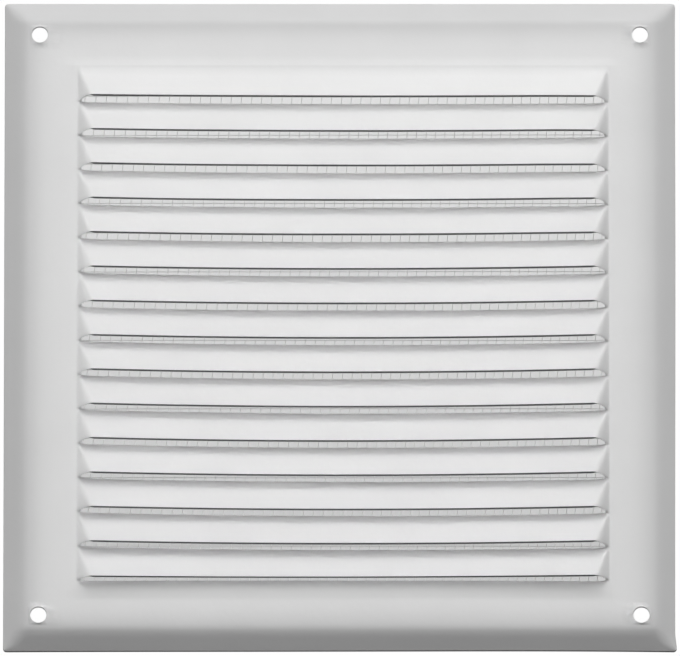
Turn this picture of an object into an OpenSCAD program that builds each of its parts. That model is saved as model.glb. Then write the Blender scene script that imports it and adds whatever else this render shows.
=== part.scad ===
// Square louvred ventilation grille.
//
// One sheet of painted steel is pressed into a shallow pan with a sloping
// flange all round. Rows of louvres are lanced through it and pushed out to
// the front, so that each one is a hood that opens downward. A fine wire mesh
// lies against the back of the sheet, and small beads of glue hold its edges.
//
// Millimetres. The front faces -Y, +Z is up and +X is to the right as seen
// from the front. The origin is the centre of the four screw holes, on the
// back face of the sheet. The flange reaches back to the wall at y = rise.

/* [Plate] */
// Side of the square plate
plate_w = 200; // [196:1:240]
// Thickness of the sheet
sheet_t = 1.0; // [0.8:0.1:1.2]
// Width of the sloping flange, seen from the front
flange_w = 6.8; // [5.6:0.1:7.4]
// How far the flange's outer corner lies behind the plate's front face
flange_drop = 3.45; // [3.2:0.05:3.8]
// Distance from the plate's front face to the wall
stand_off = 4.3; // [4.2:0.05:4.5]
// Outside radius of the fold between plate and flange
fold_r = 5; // [3:0.5:5]
// Radius of the plate's four outer corners
corner_r = 1.0; // [0.4:0.1:2]

/* [Screw holes] */
// Diameter of the four screw holes
hole_d = 4.8; // [3.6:0.1:5]
// Distance from the plate's edge to a hole's centre
hole_inset = 10.5; // [10.5:0.1:12]

/* [Louvres] */
// How many louvres
louvre_count = 15; // [4:1:15]
// Distance from one louvre to the next
louvre_pitch = 10.62; // [9.8:0.02:10.7]
// Flat strip left between a slot and the next louvre
louvre_land = 0.4; // [0.4:0.05:1]
// Length of a louvre along the plate
louvre_l = 155.8; // [100:0.2:158]
// Sideways offset of the louvres from the centre of the plate
louvre_shift = 0.85; // [-1.5:0.05:1.5]
// How far the middle of the louvres lies below the centre of the plate
louvre_drop = 0.7; // [-1:0.1:1]
// Angle between a louvre's blade and the plate
blade_angle = 28.6; // [22:0.2:32]
// Length of the slope that closes each end of a louvre
end_run = 4.2; // [3.4:0.1:8]
// Bend radius at the top of a louvre that has a slot above it
bend_r = 1.5; // [0.8:0.1:1.5]
// Bend radius at the top of the first louvre, which has none
first_bend_r = 6.5; // [1:0.5:8]
// Bend radius at the ends of a louvre
end_bend_r = 2; // [0.5:0.5:3]

/* [Insect mesh] */
// Diameter of the wire
wire_d = 0.3; // [0.2:0.02:0.36]
// Side of the square piece of mesh
mesh_w = 169.6; // [168:0.2:170]
// Distance between the wires that run up and down
warp_pitch = 2.86; // [2.4:0.01:6]
// Distance between the wires that run across
weft_pitch = 3.0; // [2.4:0.01:6]
// How far the upright wires lean, because the mesh lies askew
warp_lean = 3.6; // [0.2:0.1:6]

/* [Glue] */
// Diameter of a bead of glue
bead_d = 6; // [4:0.5:6]
// Height of a bead of glue
bead_h = 1.6; // [0.8:0.1:2]
// Beads along each side
beads_per_side = 3; // [2:1:5]

/* [Hidden] */

t = sheet_t;
rise = stand_off - t;                              // wall plane, from the sheet's back face
flange_a = atan(flange_drop / flange_w);           // slope of the flange
fold_at = plate_w / 2 - flange_w;                  // where plate and flange would meet if the fold were sharp
blade_l = louvre_pitch - louvre_land;              // length of sheet in one blade
lip_out = blade_l * sin(blade_angle);              // how far the lip stands out
end_a = atan(lip_out / end_run);                   // slope of a louvre's ends
field_top = louvre_count * louvre_pitch / 2 - louvre_drop;
hole_at = plate_w / 2 - hole_inset;
mesh_h = mesh_w / 2;
wire_gap = 0.01;                                   // keeps wires clear of the sheet and of each other
bead_at = mesh_h + wire_gap + bead_d / 2;
bead_R = (bead_d * bead_d / 4 + bead_h * bead_h) / (2 * bead_h);
arc_n = 8;
paint = "white";

// ---- helpers -------------------------------------------------------------

function mirrored(p) = concat(p, [for (i = [len(p) - 1:-1:0]) [-p[i][0], p[i][1]]]);
function swapped(p) = [for (q = p) [q[1], q[0]]];

// Extrudes a profile drawn in (x, y) along Z.
module along_z(l) {
    translate([0, 0, -l / 2]) linear_extrude(l) children();
}

// Extrudes a profile drawn in (y, z) along X.
module along_x(l) {
    translate([-l / 2, 0, 0]) rotate([90, 0, 90]) linear_extrude(l) children();
}

// ---- the pan: plate and flange -------------------------------------------

// Half of the pan's section, from the middle outward, at the depth d under the
// outer skin: d = 0 is the front, d = t the back.
function pan_half(d) = let (tau = fold_r * tan(flange_a / 2), r = fold_r - d)
    [for (i = [0:arc_n]) let (a = flange_a * i / arc_n)
        [fold_at - tau + r * sin(a), -t + fold_r - r * cos(a)]];

function pan_outer() = mirrored(concat(pan_half(0),
    [[plate_w / 2, -t + flange_drop], [plate_w / 2, rise]]));

function pan_inner() = let (y = rise + 1)
    mirrored(concat(pan_half(t),
        [[fold_at + (y + t - t / cos(flange_a)) / tan(flange_a), y]]));

module rounded_outline() {
    s = plate_w / 2 - corner_r;
    square([plate_w, 2 * s], center = true);
    square([2 * s, plate_w], center = true);
    for (x = [-s, s], z = [-s, s])
        translate([x, z]) circle(r = corner_r, $fn = 48);
}

module pan() {
    difference() {
        intersection() {
            along_z(plate_w + 2) polygon(pan_outer());
            along_x(plate_w + 2) polygon(swapped(pan_outer()));
            translate([0, rise + 1, 0]) rotate([90, 0, 0])
                linear_extrude(stand_off + 2) rounded_outline();
        }
        intersection() {
            along_z(plate_w + 2) polygon(pan_inner());
            along_x(plate_w + 2) polygon(swapped(pan_inner()));
        }
    }
}

// ---- louvres -------------------------------------------------------------
// v is the distance in front of the plate's front face, so y = -t - v.
// A louvre's own z is 0 where its blade leaves the plate.

// The blade's skin from the plate to the lip, at the depth d under the front.
function blade_skin(r, d) = let (tau = r * tan(blade_angle / 2))
    [for (i = [0:arc_n]) let (a = blade_angle * i / arc_n)
        [-t - r + (r + d) * cos(a), tau - (r + d) * sin(a)]];

// The cut edge swings on an arc about the bend as the blade is pushed out.
function cut_arc() = [for (i = [0:6]) let (a = blade_angle * (6 - i) / 6)
    [-t - blade_l * sin(a), -blade_l * cos(a)]];

function blade_outer(r) = concat(
    [[-t / 2, r * tan(blade_angle / 2)]],
    blade_skin(r, 0),
    cut_arc(),
    [[-t / 2, -blade_l]]);

function blade_inner(r) = let (lip = [-t - lip_out + t * cos(blade_angle), -blade_l * cos(blade_angle) - t * sin(blade_angle)])
    concat(
        [[1, r * tan(blade_angle / 2)]],
        blade_skin(r, t),
        [lip, [lip[0], -blade_l], [1, -blade_l]]);

// Both ends of a louvre, as a section in (x, y), at the depth d.
function end_half(d) = let (tau = end_bend_r * tan(end_a / 2), r = end_bend_r, out = lip_out + 2)
    concat(
        [for (i = [0:arc_n]) let (a = end_a * i / arc_n)
            [-louvre_l / 2 - tau + (r + d) * sin(a), -t - r + (r + d) * cos(a)]],
        [[-louvre_l / 2 + (out + d / cos(end_a)) / tan(end_a), -t - out]]);

function ends(d, back) = mirrored(concat(
    [[-louvre_l / 2 - end_bend_r * tan(end_a / 2), back]], end_half(d)));

module louvre_skin(r) {
    intersection() {
        along_x(louvre_l + 10) polygon(blade_outer(r));
        along_z(4 * louvre_pitch) polygon(ends(0, -t / 2));
    }
}

module louvre_hollow(r) {
    intersection() {
        along_x(louvre_l + 10) polygon(blade_inner(r));
        along_z(4 * louvre_pitch) polygon(ends(t, 1));
    }
}

module each_louvre() {
    for (k = [0:louvre_count - 1])
        translate([louvre_shift, 0, field_top - louvre_land - k * louvre_pitch]) {
            $bend = k == 0 ? first_bend_r : bend_r;
            children();
        }
}

module grille_plate() {
    color(paint)
    difference() {
        union() {
            pan();
            each_louvre() louvre_skin($bend);
        }
        each_louvre() louvre_hollow($bend);
        for (x = [-hole_at, hole_at], z = [-hole_at, hole_at])
            translate([x, rise, z]) rotate([90, 0, 0])
                cylinder(d = hole_d, h = stand_off + 2, $fn = 64);
    }
}

// ---- insect mesh ---------------------------------------------------------
// The wires that run across lie behind the upright ones.

module upright_wire(c) {
    m = tan(warp_lean);
    z0 = max(-mesh_h, (-mesh_h - c) / m);
    z1 = min(mesh_h, (mesh_h - c) / m);
    if (z1 - z0 > 6)
        translate([c + z0 * m, wire_d / 2 + wire_gap, z0]) rotate([0, warp_lean, 0])
            cylinder(d = wire_d, h = (z1 - z0) / cos(warp_lean), $fn = 16);
}

module insect_mesh() {
    reach = mesh_h * (1 + tan(warp_lean));
    nu = floor(reach / warp_pitch);
    na = floor((mesh_h - wire_d) / weft_pitch);
    color("silver") {
        for (i = [-nu:nu]) upright_wire(i * warp_pitch);
        for (i = [-na:na])
            translate([-mesh_h, 1.5 * wire_d + 2 * wire_gap, i * weft_pitch])
                rotate([0, 90, 0]) cylinder(d = wire_d, h = mesh_w, $fn = 16);
    }
}

// ---- glue ----------------------------------------------------------------

module bead() {
    intersection() {
        translate([0, bead_h - bead_R, 0]) sphere(r = bead_R, $fn = 48);
        translate([-bead_d, 0, -bead_d]) cube([2 * bead_d, 2 * bead_h, 2 * bead_d]);
    }
}

module glue_beads() {
    span = 0.62 * mesh_w;
    color("ivory")
    for (q = [0:3]) rotate([0, 90 * q, 0])
        for (i = [0:beads_per_side - 1])
            translate([-span / 2 + span * i / (beads_per_side - 1), 0, bead_at]) bead();
}

grille_plate();
insect_mesh();
glue_beads();
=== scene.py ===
import math

import bpy
import numpy as np
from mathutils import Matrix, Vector


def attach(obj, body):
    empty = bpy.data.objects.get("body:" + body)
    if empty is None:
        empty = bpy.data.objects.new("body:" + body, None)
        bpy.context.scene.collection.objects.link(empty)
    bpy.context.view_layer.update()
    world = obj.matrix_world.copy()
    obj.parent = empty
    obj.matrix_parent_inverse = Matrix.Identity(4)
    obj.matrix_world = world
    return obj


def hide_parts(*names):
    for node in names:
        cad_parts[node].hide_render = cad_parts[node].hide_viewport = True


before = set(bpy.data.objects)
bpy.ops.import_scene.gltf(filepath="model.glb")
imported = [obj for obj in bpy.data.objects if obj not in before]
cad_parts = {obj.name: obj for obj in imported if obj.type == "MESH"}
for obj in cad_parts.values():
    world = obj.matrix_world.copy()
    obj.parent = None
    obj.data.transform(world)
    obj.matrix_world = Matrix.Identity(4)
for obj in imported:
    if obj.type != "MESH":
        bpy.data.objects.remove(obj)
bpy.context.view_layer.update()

# Everything below is worked out in millimetres, in the row frame: the front
# faces -Y, +Z is up, and the origin is on the back face of the sheet.
MM = 0.001
rad = math.radians

# ---------------------------------------------------------------- dimensions
T = 1.0                       # sheet
HALF = 100.0                  # half the plate
DROP, FLANGE = 3.45, 6.8      # flange
SLOPE = math.atan2(DROP, FLANGE)
FOLD = HALF - FLANGE
FOLD_R = 5.0
FOLD_TAU = FOLD_R * math.tan(SLOPE / 2)
WALL = 4.3                    # wall plane, behind the plate's front face
CORNER_R = 1.1
HOLE, HOLE_AT = 2.4, 89.5

ROWS = 15
LAND = 0.4                    # strip between a slot and the next blade's bend
BEND_R, FIRST_R = 1.5, 6.5
ALPHA_MAX = rad(28.6)
VIEW = rad(15.36)             # the photograph looks up at this angle
PX = 0.29753                  # millimetres to one pixel of the photograph
FOOT_L, FOOT_R = -78.12, 80.02    # feet of the louvres' closed ends
RHO = 0.10                    # rounding of cut edges


def sstep(x, a, b):
    t = np.clip((np.asarray(x, float) - a) / (b - a), 0, 1)
    return t * t * (3 - 2 * t)


# ------------------------------------------------------------ the pan's form
def pan_profile(u):
    """Depth of the front skin behind the plate's face, u from the middle."""
    u = np.abs(np.asarray(u, float))
    a = FOLD - FOLD_TAU
    s = np.clip((u - a) / FOLD_R, 0, math.sin(SLOPE))
    arc = FOLD_R * (1 - np.sqrt(1 - s * s))
    end = a + FOLD_R * math.sin(SLOPE)
    return arc + np.maximum(u - end, 0) * math.tan(SLOPE)


D_EDGE = float(pan_profile(99.847))


def pan_depth(x, z):
    """Both directions together, with the mitres rounded over."""
    a, b = pan_profile(x), pan_profile(z)
    m = np.maximum(a, b)
    k = 1.5 * np.clip((D_EDGE - m) / 1.3, 0, 1) + 1e-6
    h = np.clip(k - np.abs(a - b), 0, None) / k
    return m + h * h * k / 4


def pan_normal(x, z):
    e = 0.02
    gx = (pan_depth(x + e, z) - pan_depth(x - e, z)) / (2 * e)
    gz = (pan_depth(x, z + e) - pan_depth(x, z - e)) / (2 * e)
    n = np.stack([gx, -np.ones_like(gx), gz], -1)
    return n / np.linalg.norm(n, axis=-1, keepdims=True)


def outline(x, z):
    """Rounds the plate's corners, and lets its long sides bow in a little."""
    x, z = np.array(x, float), np.array(z, float)
    c = HALF - CORNER_R
    a, b = np.clip(np.abs(x) - c, 0, None), np.clip(np.abs(z) - c, 0, None)
    R = CORNER_R
    a2 = a * np.sqrt(1 - np.clip(b / R, 0, 1) ** 2 / 2)
    b2 = b * np.sqrt(1 - np.clip(a / R, 0, 1) ** 2 / 2)
    ox = np.sign(x) * (np.minimum(np.abs(x), c) + a2)
    oz = np.sign(z) * (np.minimum(np.abs(z), c) + b2)
    wx, wz = sstep(np.abs(x), 92, 100), sstep(np.abs(z), 92, 100)
    ox = ox - np.where(x > 0, 0.06 + 0.42 * sstep(-z, -40, 100), 0.03) * wx * np.sign(x) * sstep(100 - np.abs(z), 0.5, 6)
    oz = oz - np.where(z < 0, 0.16 + 0.20 * sstep(x, -60, 100), 0.05) * wz * np.sign(z) * (1 - (x / HALF) ** 4)
    return ox, oz


# columns of the pan from the plate out to the wall: (distance, depth or None)
_arc = [FOLD - FOLD_TAU + FOLD_R * math.sin(SLOPE * i / 6) for i in range(1, 7)]
SKIN = [86.75, 88.1, 89.5, 90.9, 92.25] + [u for u in _arc if u > 92.5] + \
       [95.0, 95.8, 96.6, 97.4, 98.1, 98.7, 99.15, 99.5, 99.72, 99.847]
_c = (99.72, 3.622)
RIM = [(_c[0] + 0.28 * math.sin(p), _c[1] - 0.28 * math.cos(p))
       for p in (rad(26.9 + 63.1 * q) for q in (0.25, 0.5, 0.75, 1.0))]
RIM += [(100.0, 3.95), (100.0, 4.21), (99.973, 4.273), (99.91, 4.3), (99.46, 4.3)]
HOLE_COLS = (0, 4)            # the hole's square runs from SKIN[0] to SKIN[4]


# -------------------------------------------------------------- louvre rows
def u_of(x):
    """Sideways place on the photograph's own scale, about -1 to 1."""
    return (np.asarray(x, float) / PX - 0.6) / 250.0


def sag(k):
    return 3.2 * (1 - ((k - 8.8) / 10.0) ** 2) if k < 15 else -0.45


def slot_z(k, x):
    """Height of slot k's lower edge, k from 1."""
    u = np.clip(u_of(x), -1.035, 1.035)
    ends = 102.2 + 34.22 * (k - 1) if k < 15 else 580.4
    px = ends + sag(k) * (1 - u * u) + (0.45 * u if k < 15 else 0.1 * u)
    z = -(px - 323.7) * PX / math.cos(VIEW)
    xi = np.minimum(np.asarray(x, float) - FOOT_L, FOOT_R - np.asarray(x, float))
    return z + 0.20 * np.clip(1 - (xi - 1.2) / 3.4, 0, 1) ** 2 * sstep(xi, -1.0, 1.0)


def slot_gap(k, x):
    """Height of the slot as the photograph shows it, lip to lower edge."""
    u = np.clip(u_of(x), -1.035, 1.035)
    if k == 15:
        g = 4.0 + 1.9 * u * u + 0.5 * u
    else:
        mid, end = 8.9 - 0.15 * (k - 1), 8.15 - 0.065 * (k - 1)
        g = mid + (end - mid) * u * u + (0.15 if k < 4 else 0.35) * u
    lean = {1: 0.6, 2: 0.9, 3: 0.75, 4: 0.55, 5: 0.4}.get(k, 0.0)
    return (g + lean * (u - 1.6 * u ** 3)) * PX


def row_top(k, x):
    if k == 1:
        return np.full(np.shape(x), 80.1)
    return slot_z(k - 1, x)


def bend_z(k, x):
    """Where blade k would leave the plate if the bend were sharp."""
    if k == 1:
        return slot_z(1, x) + 9.75
    return slot_z(k - 1, x) - LAND


def blade_angle(k, x):
    L = bend_z(k, x) - slot_z(k, x)
    a = np.arccos(np.clip(math.cos(VIEW) - slot_gap(k, x) / L, -1, 1)) - VIEW
    cap = np.arcsin(np.minimum(4.865 / L, math.sin(rad(31))))
    return np.minimum(a, cap)


SAMPLES = [0.0, 0.14, 0.30, 0.48, 0.68, 0.92, 1.25, 1.7, 2.3, 3.0, 3.7, 4.4, 5.1,
           5.8, 6.5, 7.2, 7.85, 8.4, 8.85, 9.2, 9.5, 9.75, 9.95, 10.12, 10.27, 10.40, 10.52]
FIRST = [0.0, 0.35, 0.7, 1.05, 1.4, 1.75, 2.1, 2.45, 2.8, 3.15, 3.5, 4.0, 4.6, 5.3,
         6.0, 6.7, 7.4, 8.1, 8.8, 9.4, 10.0, 10.5, 10.9, 11.2, 11.45, 11.65, 11.83, 11.96]


def end_form(xi, s, L):
    """0 outside a louvre, 1 well inside it; xi is measured in from the foot."""
    q = np.clip((s - (L - 1.3)) / 1.3, 0, 1)
    pull = 0.38 * (1 - np.sqrt(1 - q * q * 0.999))
    w = np.maximum(0.95 + 0.37 * np.clip(s, 0, None), 0.75)
    d, soft = xi - pull, 0.16
    d = soft * np.logaddexp(0, d / soft) * sstep(xi, -0.75, -0.2)
    t = np.clip(d / w, 0, 1)
    r = np.clip(t - 0.4, 0, None)
    return np.clip((t - r * r / 1.2) / 0.7, 0, 1)


def louvre_block(k, X):
    """Front skin of louvre k as an array of points, rows down the blade."""
    X = np.asarray(X, float)
    top, low = row_top(k, X), slot_z(k, X)
    L = bend_z(k, X) - low
    al = blade_angle(k, X)
    r = FIRST_R if k == 1 else BEND_R
    total = top - low                     # blank between the two cuts
    base = np.array(FIRST if k == 1 else SAMPLES)
    j0, S0 = base[None, :], base[-1] + RHO
    S = total[:, None]
    s = j0 * (S - (2 * RHO if k > 1 else RHO)) / base[-1] + (RHO if k > 1 else 0.0)
    start = (top - bend_z(k, X))[:, None] - r * np.tan(al / 2)[:, None]
    A = al[:, None]
    q = s - start
    hb = np.where(q < 0, 0, np.where(q < r * A, r * (1 - np.cos(np.clip(q, 0, r * A) / r)),
                                     r * (1 - np.cos(A)) + (q - r * A) * np.sin(A)))
    # coat and burr stand a little proud along the lip
    hb = hb + 0.035 * np.exp(-((S - s - 0.30) / 0.16) ** 2)
    xi = np.minimum(X - FOOT_L, FOOT_R - X)[:, None]
    blank = s - (top - bend_z(k, X))[:, None]
    f = end_form(xi, blank, L[:, None])
    h = hb * f
    ds = np.diff(s, axis=1)
    dh = np.diff(h, axis=1)
    dz = np.sqrt(np.clip(ds * ds - dh * dh, (0.25 * ds) ** 2, None))
    z = top[:, None] - s[:, :1] - np.concatenate([np.zeros_like(s[:, :1]), np.cumsum(dz, 1)], 1)
    P = np.stack([np.broadcast_to(X[:, None], h.shape), -T - h, z], -1)
    return P.transpose(1, 0, 2)           # rows, columns, xyz


def grid_normals(P):
    a = np.empty_like(P)
    a[1:-1] = P[2:] - P[:-2]
    a[0], a[-1] = P[1] - P[0], P[-1] - P[-2]
    b = np.empty_like(P)
    b[:, 1:-1] = P[:, 2:] - P[:, :-2]
    b[:, 0], b[:, -1] = P[:, 1] - P[:, 0], P[:, -1] - P[:, -2]
    n = np.cross(a, b)
    n /= np.linalg.norm(n, axis=-1, keepdims=True)
    n[n[..., 1] > 0] *= -1
    return n


# ------------------------------------------------------------- sheet's mesh
class Mesh:
    def __init__(self):
        self.v, self.f, self.m = [], [], {}
        self.now = 0                      # material of the faces being added

    def add(self, p):
        self.v.append((float(p[0]), float(p[1]), float(p[2])))
        return len(self.v) - 1

    def grid(self, P):
        return np.array([[self.add(p) for p in row] for row in P])

    def quad(self, a, b, c, d):
        q = [a, b, c, d]
        u = [x for i, x in enumerate(q) if x != q[i - 1]]
        if len(set(u)) >= 3:
            if self.now:
                self.m[len(self.f)] = self.now
            self.f.append(tuple(int(x) for x in u))

    def strip(self, A, B):
        for i in range(len(A) - 1):
            self.quad(A[i], A[i + 1], B[i + 1], B[i])

    def make(self, name):
        me = bpy.data.meshes.new(name)
        me.from_pydata([(x * MM, y * MM, z * MM) for x, y, z in self.v], [], self.f)
        for i, m in self.m.items():
            me.polygons[i].material_index = m
        me.validate()
        me.update()
        ob = bpy.data.objects.new(name, me)
        bpy.context.scene.collection.objects.link(ob)
        return ob


def build_sheet():
    M = Mesh()
    right = [(u, None) for u in SKIN] + RIM
    nskin = len(SKIN)
    xi = [-1.0, -0.55, -0.28, -0.08, 0.1, 0.28, 0.46, 0.66, 0.88, 1.1, 1.3, 1.5, 1.72, 1.96, 2.22, 2.5,
          2.8, 3.12, 3.46, 3.82, 4.2, 4.65, 5.15, 5.8, 6.6, 7.7, 9.2]
    TIP = 9                                 # the slit starts at this column
    mid = np.linspace(FOOT_L + 9.2, FOOT_R - 9.2, 22)[1:-1]
    cx = [FOOT_L + q for q in xi] + list(mid) + [FOOT_R - q for q in reversed(xi)]
    C = np.array(cx)
    nc = len(C)
    t0, t1 = TIP, nc - 1 - TIP
    # all columns, left to right: (x, depth or None)
    cols = [(-u, d) for u, d in reversed(right)] + [(-83.0, None)] + [(x, None) for x in cx] + [(83.5, None)] + right
    ncol = len(cols)
    c_lo = len(right) + 1                   # first fine column
    nR = len(right)

    def rows_between(hi, lo, n):
        return [hi + (lo - hi) * (i + 1) / (n + 1) for i in range(n)]

    def cell(cx_, cz_):
        """Front point of the pan at column and row (distance, depth)."""
        (x, dx), (z, dz) = cx_, cz_
        if dx is None and dz is None:
            d = float(pan_depth(x, z))
        else:
            a = float(pan_profile(x)) if dx is None else dx
            b = float(pan_profile(z)) if dz is None else dz
            d = max(a, b)
        ox, oz = outline(x, z)
        return (float(ox), -T + d, float(oz))

    def back_of(p, x, z):
        n = pan_normal(np.array(x), np.array(z))
        q = np.array(p) - T * n
        q[1] = min(q[1], WALL - T)
        return q

    def margin(rows):
        """Front and back ids of whole rows of the pan."""
        F = np.empty((len(rows), ncol), int)
        B = np.full((len(rows), ncol), -1)
        for j, rz in enumerate(rows):
            for i, rx in enumerate(cols):
                z = rz[0](rx[0]) if callable(rz[0]) else rz[0]
                p = cell(rx, (z, rz[1]))
                F[j, i] = M.add(p)
                if rx[1] is None and rz[1] is None:
                    B[j, i] = M.add(back_of(p, rx[0], z))
        return F, B

    # rows of the top margin, down to louvre 1's first row
    top = [(u, d) for u, d in reversed(right)]
    top_rows = top + [(85.0, None), (83.0, None), (81.4, None)]
    bot_rows = [(-83.9, None), (-85.3, None)] + [(-u, d) for u, d in right]
    TF, TB = margin(top_rows)
    BF, BB = margin(bot_rows)

    # louvres: fine columns only; the sides get one row at each cut
    fines = []
    for k in range(1, ROWS + 1):
        P = louvre_block(k, C)
        N = grid_normals(P)
        N[..., 0] *= 0.2                      # the drawn ends are thinner
        N /= np.linalg.norm(N, axis=-1, keepdims=True)
        N[:, 0], N[:, -1] = (0, -1, 0), (0, -1, 0)
        fines.append((M.grid(P), M.grid(P - T * N), P, N))
    # strip under the last slot
    z15 = slot_z(15, C)
    P = np.stack([np.stack([C, np.full(nc, -T), z15 - q * (1 - 0) - RHO], -1) for q in (0.0, 0.25, 0.8, 1.8)])
    P[-1, :, 2] = -82.3
    N = np.zeros_like(P)
    N[..., 1] = -1
    fines.append((M.grid(P), M.grid(P - T * N), P, N))

    # side columns: left block and right block, one row at each unit's ends
    side_l = list(range(0, c_lo))
    side_r = list(range(c_lo + nc, ncol))
    side_rows = [float(row_top(1, np.array(0.0)))] + [float(slot_z(k, np.array(FOOT_L - 1))) for k in range(1, ROWS + 1)] + [-82.3]
    sides = {}
    for tag, idx in (("l", side_l), ("r", side_r)):
        rows = []
        for m, z in enumerate(side_rows):
            zz = z
            if tag == "r" and 1 <= m <= ROWS:
                zz = float(slot_z(m, np.array(FOOT_R + 1)))
            f, b = [], []
            for i in idx:
                p = cell(cols[i], (zz, None))
                f.append(M.add(p))
                b.append(M.add(back_of(p, cols[i][0], zz)) if cols[i][1] is None else -1)
            rows.append((f, b))
        sides[tag] = rows

    def faces(F0, F1, skip=()):
        for i in range(len(F0) - 1):
            if i in skip:
                continue
            if min(F0[i], F0[i + 1], F1[i], F1[i + 1]) >= 0:
                M.quad(F0[i], F0[i + 1], F1[i + 1], F1[i])

    # margins; the squares round the holes stay open
    def hole_cols():
        a = [nR - 1 - HOLE_COLS[1], nR - 1 - HOLE_COLS[0]]
        b = [ncol - nR + HOLE_COLS[0], ncol - nR + HOLE_COLS[1]]
        return a, b

    (la, lb), (ra, rb) = hole_cols()
    holes = []

    def margin_faces(F, B, j0, j1):
        for j in range(len(F) - 1):
            inside = j0 <= j < j1
            skip = (set(range(la, lb)) | set(range(ra, rb))) if inside else set()
            faces(F[j], F[j + 1], skip)
            faces(B[j], B[j + 1], skip)
        for a, b in ((la, lb), (ra, rb)):
            for G, tag in ((F, "f"), (B, "b")):
                loop = [G[j0, i] for i in range(a, b)] + [G[j, b] for j in range(j0, j1)] + \
                       [G[j1, i] for i in range(b, a, -1)] + [G[j, a] for j in range(j1, j0, -1)]
                holes.append((tag, loop))

    margin_faces(TF, TB, nR - 1 - HOLE_COLS[1], nR - 1 - HOLE_COLS[0])
    margin_faces(BF, BB, 2 + HOLE_COLS[0], 2 + HOLE_COLS[1])

    def fan(coarse, fine):
        """Joins a coarse pair of ids to a run of fine ids between them."""
        a, b = coarse
        h = len(fine) // 2
        for i in range(len(fine) - 1):
            M.quad(a if i < h else b, fine[i], fine[i + 1], a if i < h else b)
        M.quad(a, fine[h], b, b)

    # fine rows
    for m, (F, B, P, N) in enumerate(fines):
        for j in range(len(F) - 1):
            faces(F[j], F[j + 1])
            faces(B[j], B[j + 1])
        for side, ci, edge in (("l", 0, -1), ("r", -1, 0)):
            for layer, G in ((0, F), (1, B)):
                a = sides[side][m][layer][edge]
                b = sides[side][m + 1][layer][edge]
                run = list(G[:, ci])
                if m + 1 < len(fines):      # and on to the next unit's first row
                    run.append(fines[m + 1][layer][0, ci])
                fan((a, b), run)
    for m in range(len(fines) - 1):
        F0, B0, P0, N0 = fines[m]
        F1, B1, P1, N1 = fines[m + 1]
        # past the slit's ends the sheet is whole
        for lo, hi in ((0, t0), (t1, nc - 1)):
            for A, Bn in ((F0[-1], F1[0]), (B0[-1], B1[0])):
                M.strip(A[lo:hi + 1], Bn[lo:hi + 1])
        # cut faces of the lip and of the land, with rounded edges; they take the dark cut-edge material, whose
        # near-black grey is partly painted shade
        paths = []
        for G, H, P, N, row, sgn in ((F0, B0, P0, N0, -1, 1), (F1, B1, P1, N1, 0, -1)):
            p, n = P[row], N[row]
            q = P[row - 1] if row == -1 else P[row + 1]
            t = p - q                          # along the skin, out over the cut
            t -= (t * n).sum(-1, keepdims=True) * n
            t /= np.linalg.norm(t, axis=-1, keepdims=True)
            ring = [G[row, t0:t1 + 1]]
            for ang in (30, 60, 90):
                c = p + RHO * (math.sin(rad(ang)) * t - (1 - math.cos(rad(ang))) * n)
                ring.append(np.array([M.add(v) for v in c[t0:t1 + 1]]))
            for dep, out in ((T - 0.09, 1.0), (T - 0.025, 0.72)):
                c = p + RHO * out * t - dep * n
                ring.append(np.array([M.add(v) for v in c[t0:t1 + 1]]))
            ring.append(H[row, t0:t1 + 1])
            for i, (a, b) in enumerate(zip(ring[:-1], ring[1:])):
                # material 1 is the cut edge, darkened with painted shade
                M.now = 1 if i >= 1 else 0
                M.strip(a, b)
            M.now = 0
            paths.append(ring)
        M.now = 1
        for e in (0, -1):
            for a in range(len(paths[0]) - 1):
                M.quad(paths[0][a][e], paths[1][a][e], paths[1][a + 1][e], paths[0][a + 1][e])
        M.now = 0

    # side blocks
    for side in ("l", "r"):
        rows = sides[side]
        for (f0, b0), (f1, b1) in zip(rows[:-1], rows[1:]):
            faces(f0, f1)
            faces(b0, b1)
    # joins between margins and what lies between them
    first, last = fines[0], fines[-1]
    for side, idx in (("l", side_l), ("r", side_r)):
        for layer, G, H in ((0, TF, BF), (1, TB, BB)):
            faces([G[-1, i] for i in idx], sides[side][0][layer])
            faces(sides[side][-1][layer], [H[0, i] for i in idx])
    for layer, G, H in ((0, TF, BF), (1, TB, BB)):
        f, l = first[layer][0], last[layer][-1]
        M.strip([G[-1, c_lo + i] for i in range(nc)], f)
        M.strip(l, [H[0, c_lo + i] for i in range(nc)])
        M.quad(G[-1, c_lo - 1], G[-1, c_lo], f[0], sides["l"][0][layer][-1])
        M.quad(G[-1, c_lo + nc - 1], G[-1, c_lo + nc], sides["r"][0][layer][0], f[-1])
        M.quad(sides["l"][-1][layer][-1], l[0], H[0, c_lo], H[0, c_lo - 1])
        M.quad(l[-1], sides["r"][-1][layer][0], H[0, c_lo + nc], H[0, c_lo + nc - 1])

    # the rim: the innermost ring on the wall plane joins the back skin's edge
    def around(G, Grows_top, Grows_bot, off):
        """Ids of the ring at distance index off, clockwise from top left."""
        i0, i1 = off, ncol - 1 - off
        ring = [Grows_top[off, i] for i in range(i0, i1 + 1)]
        ring += [Grows_top[j, i1] for j in range(off + 1, len(Grows_top))]
        ring += [sides["r"][m][G][i1 - side_r[0]] for m in range(len(side_rows))]
        nb = len(Grows_bot)
        ring += [Grows_bot[j, i1] for j in range(0, nb - off)]
        ring += [Grows_bot[nb - 1 - off, i] for i in range(i1 - 1, i0 - 1, -1)]
        ring += [Grows_bot[j, i0] for j in range(nb - 2 - off, -1, -1)]
        ring += [sides["l"][m][G][i0] for m in range(len(side_rows) - 1, -1, -1)]
        ring += [Grows_top[j, i0] for j in range(len(Grows_top) - 1, off, -1)]
        return ring

    R0 = around(0, TF, BF, 0)               # last rim ring, on the wall plane
    K = around(1, TB, BB, len(RIM))         # edge of the back skin
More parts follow.
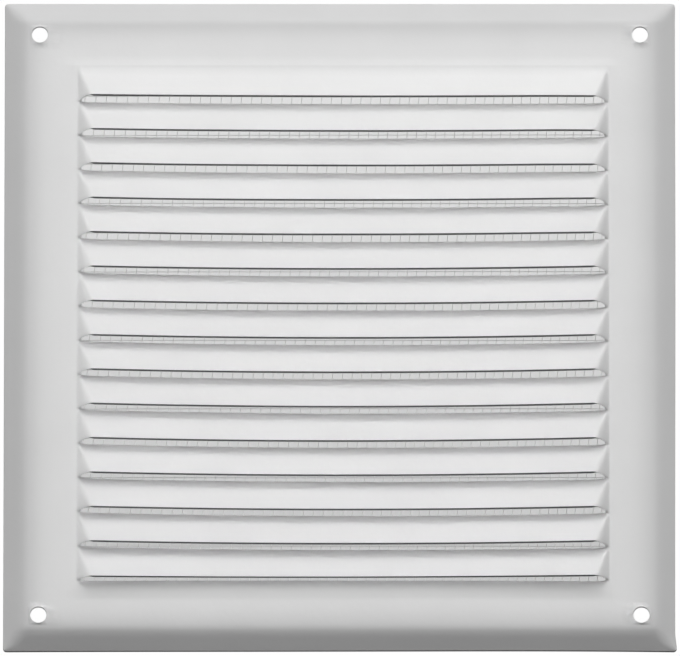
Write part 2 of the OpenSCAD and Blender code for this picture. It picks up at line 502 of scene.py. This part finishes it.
    # the two rings run at the same pace along the sides, and the outer one has more points at the corners
    pr = np.array([M.v[i] for i in R0])[:, [0, 2]]
    pk = np.array([M.v[i] for i in K])[:, [0, 2]]
    zip_rings(M, R0, pr, K, pk)

    # holes
    for a in range(0, len(holes), 2):
        pair = {tag: loop for tag, loop in (holes[a], holes[a + 1])}
        cz = np.sign(M.v[pair["f"][0]][2]) * HOLE_AT
        cxh = np.sign(M.v[pair["f"][0]][0]) * HOLE_AT
        hx, hz = cxh, cz
        prev = None
        n = 64
        rings = [(HOLE + 0.14, 0.0), (HOLE + 0.07, 0.02), (HOLE + 0.02, 0.07), (HOLE, 0.15), (HOLE, 0.92),
                 (HOLE + 0.03, 0.975), (HOLE + 0.09, 1.0)]
        ids = []
        for r, d in rings:
            ids.append([M.add((hx + r * math.cos(2 * math.pi * q / n), -T + d, hz + r * math.sin(2 * math.pi * q / n))) for q in range(n)])
        for r0, r1 in zip(ids[:-1], ids[1:]):
            M.strip(r0 + r0[:1], r1 + r1[:1])
        for tag, ring in (("f", ids[0]), ("b", ids[-1])):
            loop = pair[tag]
            pl = np.array([M.v[i] for i in loop])[:, [0, 2]] - (hx, hz)
            pr = np.array([M.v[i] for i in ring])[:, [0, 2]] - (hx, hz)
            zip_rings(M, loop, pl, ring, pr)
    return M


def zip_rings(M, A, pa, B, pb):
    """Triangles between two closed rings round the same centre."""
    def turned(ids, p):
        ang = np.arctan2(p[:, 1], p[:, 0])
        if np.sum(np.diff(np.unwrap(ang))) < 0:
            ids, ang = ids[::-1], ang[::-1]
        s = int(np.argmin(ang))
        ids = list(ids[s:]) + list(ids[:s])
        ang = np.unwrap(np.concatenate([ang[s:], ang[:s]]))
        return ids, ang
    A, aa = turned(list(A), pa)
    B, ab = turned(list(B), pb)
    A, B = A + A[:1], B + B[:1]
    aa, ab = np.append(aa, aa[0] + 2 * math.pi), np.append(ab, ab[0] + 2 * math.pi)
    i = j = 0
    while i < len(A) - 1 or j < len(B) - 1:
        if j == len(B) - 1 or (i < len(A) - 1 and aa[i + 1] <= ab[j + 1]):
            M.quad(A[i], A[i + 1], B[j], B[j])
            i += 1
        else:
            M.quad(A[i], B[j + 1], B[j], B[j])
            j += 1


def tidy(ob):
    import bmesh
    bm = bmesh.new()
    bm.from_mesh(ob.data)
    bmesh.ops.remove_doubles(bm, verts=bm.verts, dist=1e-8)
    bmesh.ops.recalc_face_normals(bm, faces=bm.faces)
    bm.to_mesh(ob.data)
    bm.free()
    for p in ob.data.polygons:
        p.use_smooth = True
    ob.data.update()
    return ob


sheet = tidy(build_sheet().make("grille_sheet"))
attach(sheet, "root")
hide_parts("grille_plate")


# --------------------------------------------------------------------- wires
def tube(M, path, radius, sides=6):
    path = np.array(path)
    n = len(path)
    t = np.gradient(path, axis=0)
    t /= np.linalg.norm(t, axis=1, keepdims=True)
    ref = np.array([0, 1.0, 0])
    a = np.cross(t, ref)
    a /= np.linalg.norm(a, axis=1, keepdims=True)
    b = np.cross(t, a)
    rings = []
    for i in range(n):
        rings.append([M.add(path[i] + radius * (math.cos(2 * math.pi * q / sides) * a[i] + math.sin(2 * math.pi * q / sides) * b[i]))
                      for q in range(sides)])
    for r0, r1 in zip(rings[:-1], rings[1:]):
        M.strip(r0 + r0[:1], r1 + r1[:1])
    M.f.append(tuple(rings[0]))
    M.f.append(tuple(reversed(rings[-1])))


WIRE, MESH_H, LEAN = 0.105, 84.8, 0.0649
MID_Y = 0.32
# spacing of the upright wires closes up from left to right
WA, WB, WC, WE = 0.4652, 0.102122, 1.9472e-05, 9.6e-09


def upright_u(n):
    u = (n - WA) / WB
    for _ in range(12):
        f = WA + WB * u + WC * u * u + WE * u ** 3 - n
        u -= f / (WB + 2 * WC * u + 3 * WE * u * u)
    return u


ACROSS_0, ACROSS_P = 58.68, 3.02


def across_z(m, x):
    return ACROSS_0 + m * ACROSS_P + 0.12 * math.sin(0.021 * x + 1.3 * m) * 0.5


def upright_x(n, z):
    u = upright_u(n)
    y_px = 324.9 - z / PX * math.cos(VIEW)
    return (u + 0.6 - 0.0674 * (y_px - 328)) * PX + 0.05 * math.sin(0.05 * z + 2.1 * n)


def build_wires():
    up, ac = Mesh(), Mesh()
    m_lo = int(math.ceil((-MESH_H + 0.3 - ACROSS_0) / ACROSS_P))
    m_hi = int(math.floor((MESH_H - 0.3 - ACROSS_0) / ACROSS_P))
    steps = 4
    for n in range(-60, 61):
        pts = []
        for q in range(steps * (m_lo - 1), steps * (m_hi + 1) + 1):
            m = q / steps
            z = ACROSS_0 + m * ACROSS_P
            z = max(-MESH_H, min(MESH_H, z))
            x = upright_x(n, z)
            y = MID_Y + WIRE * math.cos(math.pi * (m + n))
            if abs(x) <= MESH_H and (not pts or abs(pts[-1][2] - z) > 1e-6):
                pts.append((x, y, z))
        if len(pts) > 8:
            tube(up, pts, WIRE)
    xs = {n: upright_u(n) for n in range(-70, 71)}
    for m in range(m_lo, m_hi + 1):
        z0 = ACROSS_0 + m * ACROSS_P
        pts = []
        for q in range(-70 * steps, 70 * steps + 1):
            n = q / steps
            n0 = math.floor(n)
            if n0 + 1 > 70:
                continue
            x = upright_x(n0, z0) * (1 - (n - n0)) + upright_x(n0 + 1, z0) * (n - n0)
            x = max(-MESH_H, min(MESH_H, x))
            y = MID_Y - WIRE * math.cos(math.pi * (m + n))
            if not pts or x - pts[-1][0] > 1e-6:
                pts.append((x, y, across_z(m, x)))
        tube(ac, pts, WIRE)
    return tidy(up.make("mesh_upright_wires")), tidy(ac.make("mesh_across_wires"))


wires_up, wires_ac = build_wires()
for w in (wires_up, wires_ac):
    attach(w, "root")
    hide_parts("insect_mesh")


# ---------------------------------------------------------------- glue beads
def build_beads():
    M = Mesh()
    span, at = 0.62 * 2 * MESH_H, MESH_H + 0.01 + 3.0
    rng = np.random.default_rng(7)
    for side in range(4):
        for i in range(3):
            along = -span / 2 + span * i / 2
            ph = rng.uniform(0, 2 * math.pi, 4)
            am = rng.uniform(0.02, 0.06, 4)
            grow = rng.uniform(0.94, 1.0)
            rings = []
            nr, na = 9, 32
            for r in range(nr):
                q = r / (nr - 1)                      # 0 at the top, 1 at the foot
                ring = []
                for s in range(na):
                    t = 2 * math.pi * s / na
                    edge = 1 + sum(am[j] * math.cos((j + 2) * t + ph[j]) for j in range(4))
                    rr = math.sin(q * math.pi / 2) ** 0.9 * grow * edge / 1.12
                    out = math.sin(t) * rr            # towards the flange, or back over the wire
                    dx = math.cos(t) * rr * 3.0
                    dz = out * (3.0 if out > 0 else 4.4)
                    h = 1.58 * grow * math.cos(q * math.pi / 2) ** 0.75 + (0.03 if q < 1 else 0.0)
                    if q == 1:
                        h = 0.0
                    x, z = along + dx, at + dz - 0.25
                    for _ in range(side):
                        x, z = z, -x
                    ring.append((x, h, z))
                rings.append([M.add(p) for p in ring] if r else None)
                if r == 0:
                    x, z = along, at - 0.25
                    for _ in range(side):
                        x, z = z, -x
                    apex = M.add((x, 1.585 * grow, z))
            ring1 = rings[1]
            for s in range(na):
                M.f.append((apex, ring1[s], ring1[(s + 1) % na]))
            for r0, r1 in zip(rings[1:-1], rings[2:]):
                M.strip(r0 + r0[:1], r1 + r1[:1])
            M.f.append(tuple(rings[-1]))
    return tidy(M.make("glue_blobs"))


glue = build_beads()
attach(glue, "root")
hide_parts("glue_beads")


# ----------------------------------------------------------------- materials
def new_material(name):
    m = bpy.data.materials.new(name)
    m.use_nodes = True
    nt = m.node_tree
    return m, nt, nt.nodes["Principled BSDF"]


def noise(nt, scale, detail=2.0, rough=0.5):
    n = nt.nodes.new("ShaderNodeTexNoise")
    n.inputs["Scale"].default_value = scale
    n.inputs["Detail"].default_value = detail
    n.inputs["Roughness"].default_value = rough
    co = nt.nodes.new("ShaderNodeTexCoord")
    nt.links.new(co.outputs["Object"], n.inputs["Vector"])
    return n


def ramp(nt, src, a, b, lo=0.0, hi=1.0):
    r = nt.nodes.new("ShaderNodeMapRange")
    r.inputs["From Min"].default_value = lo
    r.inputs["From Max"].default_value = hi
    r.inputs["To Min"].default_value = a
    r.inputs["To Max"].default_value = b
    nt.links.new(src, r.inputs["Value"])
    return r


def grey_between(nt, fac, a, b):
    mix = nt.nodes.new("ShaderNodeMix")
    mix.data_type = "RGBA"
    mix.inputs["A"].default_value = (*a, 1)
    mix.inputs["B"].default_value = (*b, 1)
    nt.links.new(fac, mix.inputs["Factor"])
    return mix


def bump(nt, src, strength, distance, onto=None):
    b = nt.nodes.new("ShaderNodeBump")
    b.inputs["Strength"].default_value = strength
    b.inputs["Distance"].default_value = distance
    nt.links.new(src, b.inputs["Height"])
    if onto is not None:
        nt.links.new(onto.outputs["Normal"], b.inputs["Normal"])
    return b


def paint():
    m, nt, b = new_material("white_powder_coat")
    broad = noise(nt, 35, 2)
    col = grey_between(nt, ramp(nt, broad.outputs["Fac"], 0, 1, 0.3, 0.7).outputs["Result"],
                       (0.835, 0.835, 0.835), (0.862, 0.862, 0.862))
    nt.links.new(col.outputs["Result"], b.inputs["Base Color"])
    rg = noise(nt, 220, 3)
    nt.links.new(ramp(nt, rg.outputs["Fac"], 0.44, 0.56, 0.3, 0.7).outputs["Result"], b.inputs["Roughness"])
    peel = noise(nt, 520, 2, 0.45)
    fine = noise(nt, 2600, 2, 0.5)
    b1 = bump(nt, peel.outputs["Fac"], 0.10, 0.00025)
    b2 = bump(nt, fine.outputs["Fac"], 0.06, 0.00008, b1)
    nt.links.new(b2.outputs["Normal"], b.inputs["Normal"])
    b.inputs["IOR"].default_value = 1.45
    return m


def bare_edge_and_painted_shade():
    """Sheared edge of the sheet: bare steel with a haze of paint over it, and painted shade: its grey is darkened
    far below bare steel's to stand in for the shade under the lips.
    """
    m, nt, b = new_material("bare_edge_and_painted_shade")
    n = noise(nt, 700, 3)
    # painted shade: near-black grey for cut faces that lie in shade under the lips
    col = grey_between(nt, n.outputs["Fac"], (0.11, 0.11, 0.11), (0.17, 0.17, 0.17))
    nt.links.new(col.outputs["Result"], b.inputs["Base Color"])
    nt.links.new(ramp(nt, n.outputs["Fac"], 0.5, 0.66).outputs["Result"], b.inputs["Roughness"])
    b1 = bump(nt, n.outputs["Fac"], 0.2, 0.00004)
    nt.links.new(b1.outputs["Normal"], b.inputs["Normal"])
    return m


def zinc():
    m, nt, b = new_material("zinc_wire")
    n = noise(nt, 900, 3)
    col = grey_between(nt, n.outputs["Fac"], (0.72, 0.72, 0.72), (0.84, 0.84, 0.835))
    nt.links.new(col.outputs["Result"], b.inputs["Base Color"])
    b.inputs["Metallic"].default_value = 0.7
    n2 = noise(nt, 2500, 2)
    nt.links.new(ramp(nt, n2.outputs["Fac"], 0.34, 0.52).outputs["Result"], b.inputs["Roughness"])
    b1 = bump(nt, n2.outputs["Fac"], 0.25, 0.00004)
    nt.links.new(b1.outputs["Normal"], b.inputs["Normal"])
    return m


def hot_glue():
    m, nt, b = new_material("hot_glue")
    n = noise(nt, 260, 3)
    col = grey_between(nt, n.outputs["Fac"], (0.80, 0.74, 0.58), (0.90, 0.86, 0.74))
    nt.links.new(col.outputs["Result"], b.inputs["Base Color"])
    nt.links.new(ramp(nt, n.outputs["Fac"], 0.22, 0.38).outputs["Result"], b.inputs["Roughness"])
    b.inputs["Transmission Weight"].default_value = 0.35
    b.inputs["Subsurface Weight"].default_value = 0.3
    b.inputs["Subsurface Radius"].default_value = (0.002, 0.0018, 0.0012)
    b.inputs["IOR"].default_value = 1.48
    b1 = bump(nt, n.outputs["Fac"], 0.2, 0.0003)
    nt.links.new(b1.outputs["Normal"], b.inputs["Normal"])
    return m


sheet.data.materials.append(paint())
sheet.data.materials.append(bare_edge_and_painted_shade())
_z = zinc()
wires_up.data.materials.append(_z)
wires_ac.data.materials.append(_z)
glue.data.materials.append(hot_glue())


# ---------------------------------------------------------------- the stage
def plain_stage(name, verts, mat):
    me = bpy.data.meshes.new(name)
    me.from_pydata(verts, [], [(0, 1, 2, 3)])
    me.update()
    ob = bpy.data.objects.new(name, me)
    bpy.context.scene.collection.objects.link(ob)
    ob.data.materials.append(mat)
    return ob


# pale floor, well below every view
mf, ntf, bf = new_material("floor_pale")
nf = noise(ntf, 0.4, 2)
cf = grey_between(ntf, nf.outputs["Fac"], (0.80, 0.80, 0.80), (0.84, 0.84, 0.84))
ntf.links.new(cf.outputs["Result"], bf.inputs["Base Color"])
bf.inputs["Roughness"].default_value = 0.9
F = 30.0
floor = plain_stage("floor", [(-F, -F, -14.4), (F, -F, -14.4), (F, F, -14.4), (-F, F, -14.4)], mf)

# pale card close behind the mesh: what the slots look through to. It glows instead of being lit (painted light,
# which also lights the inside of the louvres), and its grey darkens towards the bottom as painted shade of the
# grille on it.
# It has one side, so the back of the grille stays open to view.
mc = bpy.data.materials.new("glowing_card_painted_shade")
mc.use_nodes = True
nt = mc.node_tree
nt.nodes.clear()
out = nt.nodes.new("ShaderNodeOutputMaterial")
em = nt.nodes.new("ShaderNodeEmission")
tr = nt.nodes.new("ShaderNodeBsdfTransparent")
mx = nt.nodes.new("ShaderNodeMixShader")
geo = nt.nodes.new("ShaderNodeNewGeometry")
co = nt.nodes.new("ShaderNodeTexCoord")
sep = nt.nodes.new("ShaderNodeSeparateXYZ")
nt.links.new(co.outputs["Object"], sep.inputs["Vector"])
# painted shade: the card's glow dims from top to bottom
card_painted_shade_ramp = ramp(nt, sep.outputs["Z"], 0.0, 1.0, -0.080, 0.070)
card_painted_shade_grey = grey_between(nt, card_painted_shade_ramp.outputs["Result"], (0.565, 0.565, 0.565), (0.735, 0.735, 0.735))
nt.links.new(card_painted_shade_grey.outputs["Result"], em.inputs["Color"])
nt.links.new(geo.outputs["Backfacing"], mx.inputs["Fac"])
nt.links.new(em.outputs["Emission"], mx.inputs[1])
nt.links.new(tr.outputs["BSDF"], mx.inputs[2])
nt.links.new(mx.outputs["Shader"], out.inputs["Surface"])
Q, Y = 0.0846, 0.0031
card = plain_stage("card", [(-Q, Y, -Q), (Q, Y, -Q), (Q, Y, Q), (-Q, Y, Q)], mc)


# ------------------------------------------------------------------- lights
def area(name, place, size, power, target=(0, 0, 0), size_y=None, spread=180.0):
    d = Vector(place) - Vector(target)
    la = bpy.data.lights.new(name, "AREA")
    la.shape = "RECTANGLE"
    la.size = size
    la.size_y = size_y or size
    la.energy = power
    la.spread = rad(spread)
    ob = bpy.data.objects.new(name, la)
    ob.location = Vector(place)
    ob.rotation_mode = "QUATERNION"
    ob.rotation_quaternion = d.normalized().to_track_quat("Z", "Y")
    bpy.context.scene.collection.objects.link(ob)
    ob.visible_camera = False
    return ob


def aim(az, el, dist):
    """Place of a light: az to the right of straight in front, el above."""
    a, e = rad(az), rad(el)
    return Vector((math.sin(a) * math.cos(e), -math.cos(a) * math.cos(e), math.sin(e))) * dist


LIGHTS = {                    # place, size, watts
    "front_12": (aim(0, 12, 1.8), 0.6, 0.80),
    "front_24": (aim(0, 24, 1.8), 0.6, 2.24),
    "key_48": (aim(0, 48, 1.8), 0.6, 10.2),
    "key_60": (aim(0, 60, 1.8), 0.6, 1.24),
    "top": (aim(0, 90, 1.8), 0.6, 3.0),
    "key_right": (aim(35, 30, 1.8), 0.6, 6.2),
    "key_left": (aim(-35, 30, 1.8), 0.6, 1.65),
    "side_left": (aim(-75, 5, 1.8), 0.6, 4.47),
    "side_right": (aim(75, 5, 1.8), 0.6, 1.9),
    "front_low": ((0, -0.30, -0.15), 0.25, 0.069),
    "back_fill": (aim(180, 30, 1.8), 0.9, 9.0),
}
for name, (place, size, power) in LIGHTS.items():
    area(name, place, size, power)

# narrow panels that brighten the plate inside its folds
FACE = Vector((0, -T * MM, 0))
for name, az, el, power in (("panel_left", -35, 0, 0.0133), ("panel_right", 35, 0, 0.0029),
                            ("panel_front", 0, 0, 0.0024), ("panel_high", 0, 15, 0.0017)):
    area(name, FACE + aim(az, el, 0.3), 0.182 * math.cos(rad(az)), power, FACE, 0.182 * math.cos(rad(el)), 2.5)

world = bpy.data.worlds.new("studio")
bpy.context.scene.world = world
world.use_nodes = True
nt = world.node_tree
nt.nodes.clear()
out = nt.nodes.new("ShaderNodeOutputWorld")
seen = nt.nodes.new("ShaderNodeBackground")
seen.inputs["Color"].default_value = (1, 1, 1, 1)
seen.inputs["Strength"].default_value = 1.0
fill = nt.nodes.new("ShaderNodeBackground")
fill.inputs["Color"].default_value = (1, 1, 1, 1)
fill.inputs["Strength"].default_value = 0.0
lp = nt.nodes.new("ShaderNodeLightPath")
mx = nt.nodes.new("ShaderNodeMixShader")
nt.links.new(lp.outputs["Is Camera Ray"], mx.inputs["Fac"])
nt.links.new(fill.outputs["Background"], mx.inputs[1])
nt.links.new(seen.outputs["Background"], mx.inputs[2])
nt.links.new(mx.outputs["Shader"], out.inputs["Surface"])

# ------------------------------------------------------------------- camera
DIST = 9.0
cam_data = bpy.data.cameras.new("camera")
cam = bpy.data.objects.new("camera", cam_data)
bpy.context.scene.collection.objects.link(cam)
cam_data.sensor_width = 36.0
cam_data.sensor_fit = "AUTO"
cam_data.lens = 36.0 * DIST / (680 * PX * MM)
cam_data.clip_start, cam_data.clip_end = 0.1, 30.0
look = Vector((0, math.cos(VIEW), math.sin(VIEW)))
down = Vector((0, math.sin(VIEW), -math.cos(VIEW)))
# the plate's middle lies a little left of and above the picture's middle
target = Vector((0, -T * MM, 0)) + Vector((0.1, 0, 0)) * PX * MM + down * (4.25 * PX * MM)
cam.location = target - look * DIST
cam.rotation_mode = "QUATERNION"
cam.rotation_quaternion = look.to_track_quat("-Z", "Y")
bpy.context.scene.camera = cam

sc = bpy.context.scene
sc.view_settings.view_transform = "Standard"
sc.view_settings.look = "None"
sc.view_settings.exposure = 0.0
sc.view_settings.gamma = 1.0
